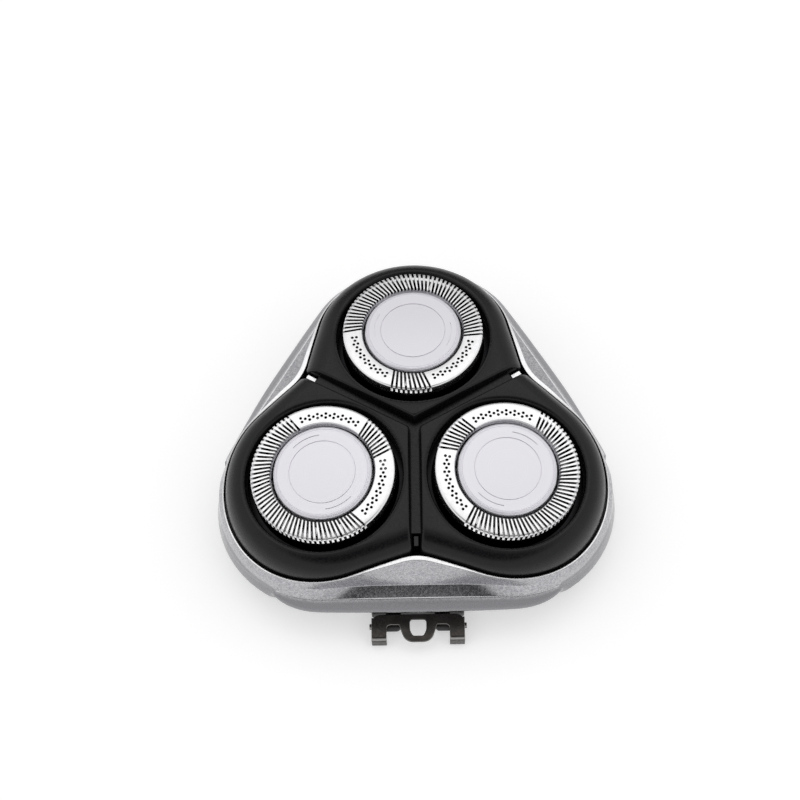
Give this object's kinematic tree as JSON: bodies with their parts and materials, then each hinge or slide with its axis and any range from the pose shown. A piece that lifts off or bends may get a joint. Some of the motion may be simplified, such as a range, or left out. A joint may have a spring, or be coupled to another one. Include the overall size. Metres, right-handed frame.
{
  "type": "rotary shaver head",
  "caption": "Rotary shaver head with floating slotted guards, spinning cutters, painted frame, gloss face plate, retaining frame with lock knob and a hinge clip.",
  "frame": {"origin": "under the middle of the head's outline, on the plane of the rear rim that the head lies on", "axes": "+Z out of the shaving side, along the common axis of the three guards; -Y towards the hinge clip; +X to the right when the clip is towards the viewer"},
  "size_m": [0.0618, 0.0628, 0.0184],
  "materials": {
    "silver_paint": "fine metallic grey paint on moulded plastic, satin",
    "black_gloss": "high gloss black",
    "polished_steel": "polished stainless steel with ground slots",
    "brushed_cap": "circular brushed stainless steel",
    "blade_steel": "ground steel",
    "carrier_plastic": "moulded, matt",
    "retainer_plastic": "moulded, matt",
    "knob_plastic": "moulded, matt",
    "hinge_plastic": "moulded, satin",
    "spring_steel": "dark browned spring steel",
    "screw_steel": "zinc plated"
  },
  "bodies": {
    "frame": {"outer_frame": "silver_paint", "face_plate": "black_gloss", "retaining_frame": "retainer_plastic", "hinge_block": "hinge_plastic", "hinge_screw_left": "screw_steel", "hinge_screw_right": "screw_steel"},
    "float_top": {"guard_top": "polished_steel", "guard_cap_top": "brushed_cap"},
    "float_left": {"guard_left": "polished_steel", "guard_cap_left": "brushed_cap"},
    "float_right": {"guard_right": "polished_steel", "guard_cap_right": "brushed_cap"},
    "cutter_top": {"cutter_blades_top": "blade_steel", "cutter_lifters_top": "blade_steel", "cutter_carrier_top": "carrier_plastic"},
    "cutter_left": {"cutter_blades_left": "blade_steel", "cutter_lifters_left": "blade_steel", "cutter_carrier_left": "carrier_plastic"},
    "cutter_right": {"cutter_blades_right": "blade_steel", "cutter_lifters_right": "blade_steel", "cutter_carrier_right": "carrier_plastic"},
    "knob": {"lock_knob": "knob_plastic"},
    "clip": {"hinge_clip": "spring_steel", "hinge_pin": "spring_steel"}
  },
  "joints": [
    {"name": "guard_float_top", "type": "slide", "parent": "frame", "child": "float_top", "axis": [0, 0.0872, 0.9962], "range_m": [-0.001, 0], "stiffness_N_per_m": 400, "springref_m": 0.0005},
    {"name": "guard_float_left", "type": "slide", "parent": "frame", "child": "float_left", "axis": [-0.0755, -0.0436, 0.9962], "range_m": [-0.001, 0], "stiffness_N_per_m": 400, "springref_m": 0.0005},
    {"name": "guard_float_right", "type": "slide", "parent": "frame", "child": "float_right", "axis": [0.0755, -0.0436, 0.9962], "range_m": [-0.001, 0], "stiffness_N_per_m": 400, "springref_m": 0.0005},
    {"name": "cutter_spin_top", "type": "hinge", "parent": "float_top", "child": "cutter_top", "pos_m": [0, 0.01424, 0.0175], "axis": [0, 0.0872, 0.9962], "continuous": true},
    {"name": "cutter_spin_left", "type": "hinge", "parent": "float_left", "child": "cutter_left", "pos_m": [-0.01385, -0.00975, 0.0175], "axis": [-0.0755, -0.0436, 0.9962], "continuous": true},
    {"name": "cutter_spin_right", "type": "hinge", "parent": "float_right", "child": "cutter_right", "pos_m": [0.01385, -0.00975, 0.0175], "axis": [0.0755, -0.0436, 0.9962], "continuous": true},
    {"name": "lock_knob_turn", "type": "hinge", "parent": "frame", "child": "knob", "pos_m": [0, -0.00175, 0.0073], "axis": [0, 0, 1], "range_deg": [0, 90]},
    {"name": "hinge_clip_swing", "type": "hinge", "parent": "frame", "child": "clip", "pos_m": [0, -0.02844, 0.0011], "axis": [1, 0, 0], "range_deg": [0, 80]}
  ]
}
